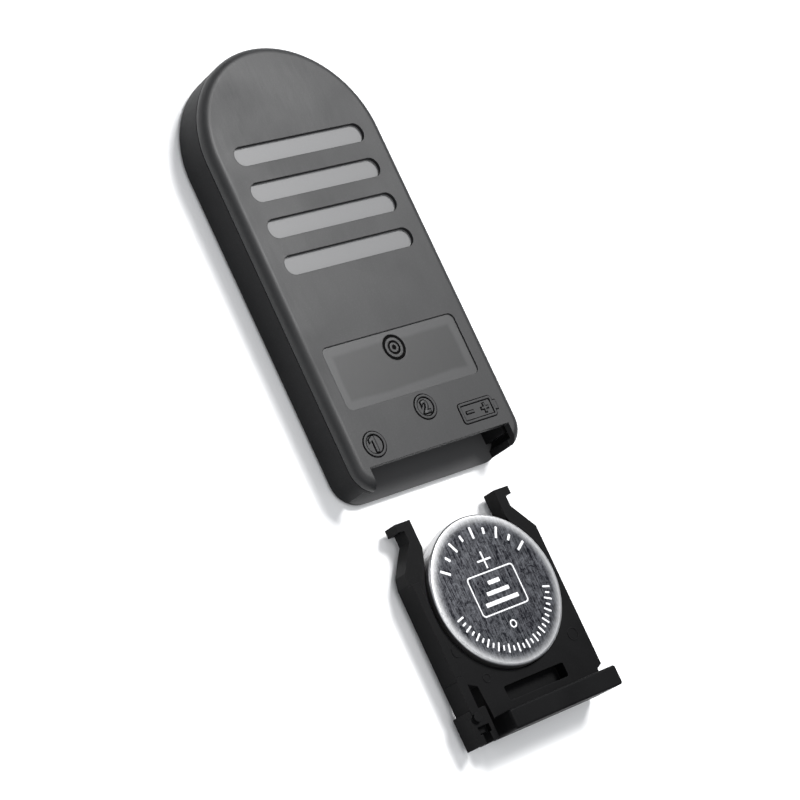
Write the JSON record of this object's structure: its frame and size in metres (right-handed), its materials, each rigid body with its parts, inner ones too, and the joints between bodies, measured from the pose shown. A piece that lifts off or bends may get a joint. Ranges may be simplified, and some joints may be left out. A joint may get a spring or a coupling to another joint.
{
  "type": "wireless flash trigger",
  "caption": "Slim arch-ended infrared remote trigger, back face up, with its coin-cell battery tray drawn out of the slot.",
  "frame": {"origin": "middle of the case's front face, on which it lies", "axes": "+Z out of the back face, +Y towards the round infrared end, +X to the right seen from the back; the battery tray slides out along -Y"},
  "size_m": [0.028, 0.093, 0.0066],
  "materials": {
    "case_plastic": "fine matte, semi-gloss moulded black",
    "tray_plastic": "moulded black, satin",
    "button_plastic": "moulded dark grey, satin",
    "window_plastic": "smoked infrared-passing plastic, polished",
    "board_laminate": "green solder mask",
    "led_epoxy": "clear blue-tinted epoxy",
    "tinned_lead": "tinned wire",
    "chip_epoxy": "black moulding compound",
    "resonator_can": "drawn metal can",
    "capacitor_ceramic": "fired tan ceramic",
    "resistor_ceramic": "black glazed face",
    "dome_steel": "bright stainless spring sheet",
    "contact_spring": "nickel-plated spring strip",
    "cell_steel": "stainless, bright rim and brushed face",
    "gasket_nylon": "dark nylon",
    "cell_lithium": "dull silver foil",
    "cell_separator": "thin white non-woven",
    "cell_cathode": "pressed black powder"
  },
  "bodies": {
    "case": {"front_case": "case_plastic", "back_cover": "case_plastic", "ir_window": "window_plastic", "circuit_board": "board_laminate", "ir_led": "led_epoxy", "led_leads": "tinned_lead", "control_chip": "chip_epoxy", "resonator": "resonator_can", "chip_capacitors": "capacitor_ceramic", "chip_resistors": "resistor_ceramic", "transistor": "chip_epoxy", "snap_dome": "dome_steel"},
    "button": {"shutter_button": "button_plastic"},
    "tray": {"battery_tray": "tray_plastic"},
    "latch": {"release_latch": "tray_plastic"},
    "cell": {"cell_can": "cell_steel", "cell_gasket": "gasket_nylon", "cell_cap": "cell_steel", "lithium_disc": "cell_lithium", "separator": "cell_separator", "cathode_pellet": "cell_cathode"},
    "positive_spring": {"positive_contact": "contact_spring"},
    "negative_spring": {"negative_contact": "contact_spring"}
  },
  "joints": [
    {"name": "tray_slide", "type": "slide", "parent": "case", "child": "tray", "axis": [0, 1, 0], "range_m": [0, 0.033]},
    {"name": "latch_flex", "type": "hinge", "parent": "tray", "child": "latch", "pos_m": [-0.01095, -0.055, 0.0025], "axis": [0, 0, 1], "range_deg": [0, 5], "stiffness_Nm_per_rad": 0.01},
    {"name": "coin_lift", "type": "slide", "parent": "tray", "child": "cell", "axis": [0, 0, -1], "range_m": [-0.008, 0]},
    {"name": "shutter_press", "type": "slide", "parent": "case", "child": "button", "axis": [0, 0, 1], "range_m": [0, 0.00025], "stiffness_N_per_m": 2000, "deforming": ["snap_dome"]},
    {"name": "positive_flex", "type": "hinge", "parent": "case", "child": "positive_spring", "pos_m": [0.003, 0.0062, 0.0032], "axis": [-1, 0, 0], "range_deg": [0, 2], "stiffness_Nm_per_rad": 0.1},
    {"name": "negative_flex", "type": "hinge", "parent": "case", "child": "negative_spring", "pos_m": [0, 0.0062, 0.0022], "axis": [1, 0, 0], "range_deg": [0, 1.2], "stiffness_Nm_per_rad": 0.1}
  ]
}
